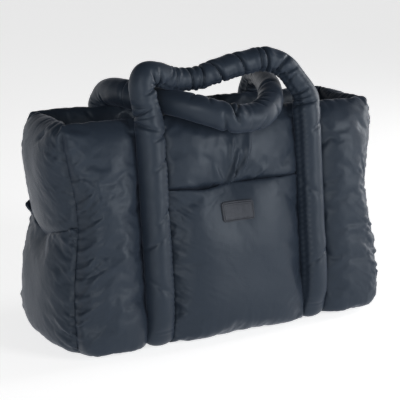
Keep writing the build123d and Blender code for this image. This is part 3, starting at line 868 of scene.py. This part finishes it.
def label_place(a, b):
    """A point of the label's rectangle drawn in to its rounded outline, and its distance from the edge."""
    over_x, over_up = abs(a) - LABEL_HALF_X + LABEL_CORNER, abs(b) - LABEL_HALF_UP + LABEL_CORNER
    if over_x <= 0 or over_up <= 0:
        return a, b, min(LABEL_HALF_X - abs(a), LABEL_HALF_UP - abs(b))
    reach = math.hypot(over_x, over_up)
    if reach > LABEL_CORNER:
        a = math.copysign(LABEL_HALF_X - LABEL_CORNER + over_x * LABEL_CORNER / reach, a)
        b = math.copysign(LABEL_HALF_UP - LABEL_CORNER + over_up * LABEL_CORNER / reach, b)
    return a, b, LABEL_CORNER - min(reach, LABEL_CORNER)


def label_patch(surface, rows=76, columns=130, cells=8):
    """A blank leather patch with a pressed border, laid on a coarse grid of cells over the pocket."""
    low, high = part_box("label_patch")
    centre_up = up_wall((low.z + high.z) / 2, 28 * MM) - 3 * MM
    centre_x = -5 * MM
    tree = BVHTree.FromObject(surface, bpy.context.evaluated_depsgraph_get())
    inward = Vector((0, COS, -SIN))

    def on_pocket(x, up):
        start = Vector(wall(FRONT, centre_x + x, centre_up + up, 60 * MM).ravel())
        return tree.ray_cast(start, inward)[0] or start

    across = np.linspace(-1, 1, cells + 1)
    field = np.array([[on_pocket(a * LABEL_HALF_X, b * LABEL_HALF_UP) for a in across] for b in across])
    points = np.zeros((rows, columns, 3))
    for j, v in enumerate(np.linspace(-1, 1, rows)):
        for i, u in enumerate(np.linspace(-1, 1, columns)):
            a, b, depth = label_place(u * LABEL_HALF_X, v * LABEL_HALF_UP)
            s, t = (a / LABEL_HALF_X + 1) * cells / 2, (b / LABEL_HALF_UP + 1) * cells / 2
            k, m = min(cells - 1, int(s)), min(cells - 1, int(t))
            s, t = s - k, t - m
            base = (field[m, k] * (1 - s) * (1 - t) + field[m, k + 1] * s * (1 - t)
                    + field[m + 1, k] * (1 - s) * t + field[m + 1, k + 1] * s * t)
            points[j, i] = base - np.array(inward) * (label_relief(depth) + 0.3 * MM)
    return grid_piece("label_leather_patch", points, LEATHER, (0, -1, 0))


# ---- build ----
front_panel = wall_panel("front_panel", FRONT, 1)
back_panel = wall_panel("back_panel", BACK, 2)
left_end = end_panel("left_end_panel", LEFT, 3)
right_end = end_panel("right_end_panel", RIGHT, 4)
pocket = front_pocket()
left_pocket = end_pocket("left_pocket_panel", LEFT, 5)
right_pocket = end_pocket("right_pocket_panel", RIGHT, 6)
run_cloths()
for piece, shift in ((front_panel, wall_puckers(41, SNAP_RIDGES)), (back_panel, wall_puckers(45)),
                     (left_end, end_puckers(51, below_rim)), (right_end, end_puckers(55, below_rim)),
                     (pocket, front_pocket_puckers), (left_pocket, end_puckers(65, below_mouth)),
                     (right_pocket, end_puckers(69, below_mouth))):
    subdivide(piece)
    displace(piece, shift)
    if piece is not pocket:
        press_corner_seams(piece)

front_tube = handle_tube("front_handle_tube", FRONT, FRONT_LOOP, FRONT_CREASES, 1.25, 11)
back_tube = handle_tube("back_handle_tube", BACK, BACK_LOOP, BACK_CREASES, -1.9, 12)
label = label_patch(pocket)
base = base_panel()
front_cloth = wall_lining("front_lining_cloth", FRONT, 21)
back_cloth = wall_lining("back_lining_cloth", BACK, 22)
left_cloth = end_lining("left_lining_cloth", LEFT, 23)
right_cloth = end_lining("right_lining_cloth", RIGHT, 24)
floor_cloth = base_lining()
slip_cloth, slip_band = slip_pocket()
zip_cloth = zip_pocket()

# The end pockets' snaps sit on cloth that the corner seams pull in, so the shown halves follow it.
for side, body in ((LEFT, "left_pocket"), (RIGHT, "right_pocket")):
    for half, rides_on in (("snap_socket", "bag"), ("snap_stud", body)):
        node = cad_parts[f"{body}_{half}"]
        snap = bpy.data.objects.new(f"{body}_{half}_shown", node.data.copy())
        scene.collection.objects.link(snap)
        snap.data.transform(Matrix.Translation((-side * END_SNAP_INSET, 0, 0)))
        snap.data.materials.clear()
        snap.data.materials.append(METAL)
        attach(snap, rides_on)
        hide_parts(f"{body}_{half}")

# ---- bodies, slots and what each piece stands for ----
def bend_pocket(halves, body):
    """Bakes each half of a split pocket into place, and hides that pocket's parts of the frame."""
    for half, sign in zip(halves, (-1, 1)):
        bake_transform(half)
    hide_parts(f"{body}_cover", f"{body}_wadding")
    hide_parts(f"{body}_hem", f"{body}_lining")


bend_pocket(split_for_blend(pocket, 0, ("left", "right")), "front_pocket")
for body, panel in (("left_pocket", left_pocket), ("right_pocket", right_pocket)):
    bend_pocket(split_for_blend(panel, 1, ("front", "back")), body)

# The tubes are baked into place, and the frame's sleeves and cores of their handles are hidden.
for tube, end, forward, above in ((front_tube, "front", 0, 14 * MM), (back_tube, "back", -8 * MM, 10 * MM)):
    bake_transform(tube)
    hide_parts(f"{end}_leg_sleeves", f"{end}_leg_cores", f"{end}_handle_sleeve", f"{end}_handle_core")

for piece, body, slot, nodes in (
        (front_panel, "bag", "cover_nylon", ("front_cover", "front_wadding", "rim_facing")),
        (back_panel, "bag", "cover_nylon", ("back_cover", "back_wadding")),
        (left_end, "bag", "cover_nylon", ("left_end_cover", "left_end_wadding")),
        (right_end, "bag", "cover_nylon", ("right_end_cover", "right_end_wadding")),
        (base, "bag", "cover_nylon", ("base_cover", "base_wadding")),
        (label, "front_pocket", "label_leather", ("label_patch",)),
        (front_cloth, "bag", "lining_nylon", ("front_lining",)),
        (back_cloth, "bag", "lining_nylon", ("back_lining",)),
        (left_cloth, "bag", "lining_nylon", ("left_end_lining",)),
        (right_cloth, "bag", "lining_nylon", ("right_end_lining",)),
        (floor_cloth, "bag", "lining_nylon", ("base_lining",)),
        (slip_cloth, "bag", "lining_nylon", ("slip_pocket_panel",)),
        (slip_band, "bag", "elastic", ("slip_pocket_elastic",)),
        (zip_cloth, "bag", "lining_nylon", ("zip_pocket_panel",))):
    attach(piece, body)
    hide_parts(*nodes)

for node, material in (("zip_tape", TAPE), ("zip_coils", COIL), ("zip_stops", METAL), ("zip_slider", METAL),
                       ("zip_puller", METAL), ("base_board", BOARD), ("top_snap_socket", METAL),
                       ("top_snap_stud", METAL), ("front_pocket_snap_socket", METAL),
                       ("front_pocket_snap_stud", METAL)):
    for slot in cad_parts[node].material_slots:
        slot.material = material

# ---- studio ----
def aimed(name, data, place, aim):
    """An object at a place, turned to look at its aim."""
    holder = bpy.data.objects.new(name, data)
    holder.location = place
    holder.rotation_euler = (Vector(aim) - holder.location).to_track_quat("-Z", "Y").to_euler()
    scene.collection.objects.link(holder)
    return holder


def soft_light(name, place, size, power):
    """A rectangular lamp aimed at the bag's middle: metres and watts."""
    lamp = bpy.data.lights.new(name, "AREA")
    lamp.shape = "RECTANGLE"
    lamp.size, lamp.size_y = size
    lamp.energy = power
    aimed(name, lamp, place, BAG_MIDDLE)


BAG_MIDDLE = (0, 0, 0.17)
CAMERA_PLACE, CAMERA_AIM = (-0.8205, -1.5133, 0.6173), (-0.0056, 0, 0.1728)
LENS_LENGTH, SENSOR_WIDTH = 108, 36  # millimetres
FLOOR_HALF, FLOOR_Z = 6, -0.0008
SKY_HEIGHTS, SKY_LEVELS = (0.05, 0.48), (1.0, 0.04)  # the sky fades upwards, which keeps the bag's top dark

floor_material, floor_tree, floor_shader = nodes_of("studio_floor")
feed(floor_tree, floor_shader, {"Base Color": (0.8, 0.8, 0.8, 1), "Roughness": 0.8,
                                "Emission Color": (1, 1, 1, 1), "Emission Strength": 0.68})
floor_corners = [(x * FLOOR_HALF, y * FLOOR_HALF, FLOOR_Z) for x, y in ((-1, -1), (1, -1), (1, 1), (-1, 1))]
floor = new_mesh("studio_floor", floor_corners, [(0, 1, 2, 3)], floor_material)

soft_light("key_left", (-1.5, -2.0, 0.9), (0.8, 1.0), 18)
soft_light("key_right", (1.3, -2.0, 0.7), (0.7, 1.0), 25)
soft_light("side_right", (2.0, -0.1, 0.7), (0.5, 1.2), 17)

world = bpy.data.worlds.new("studio_world")
scene.world = world
world.use_nodes = True
sky = world.node_tree
height = add(sky, "ShaderNodeSeparateXYZ", {0: add(sky, "ShaderNodeTexCoord").outputs["Generated"]})
level = rescaled(sky, height.outputs["Z"], SKY_HEIGHTS, SKY_LEVELS)
feed(sky, sky.nodes["Background"], {"Color": (1, 1, 1, 1), "Strength": level})
scene.view_settings.view_transform = "Standard"

lens = bpy.data.cameras.new("camera")
lens.lens, lens.sensor_width = LENS_LENGTH, SENSOR_WIDTH
scene.camera = aimed("camera", lens, CAMERA_PLACE, CAMERA_AIM)
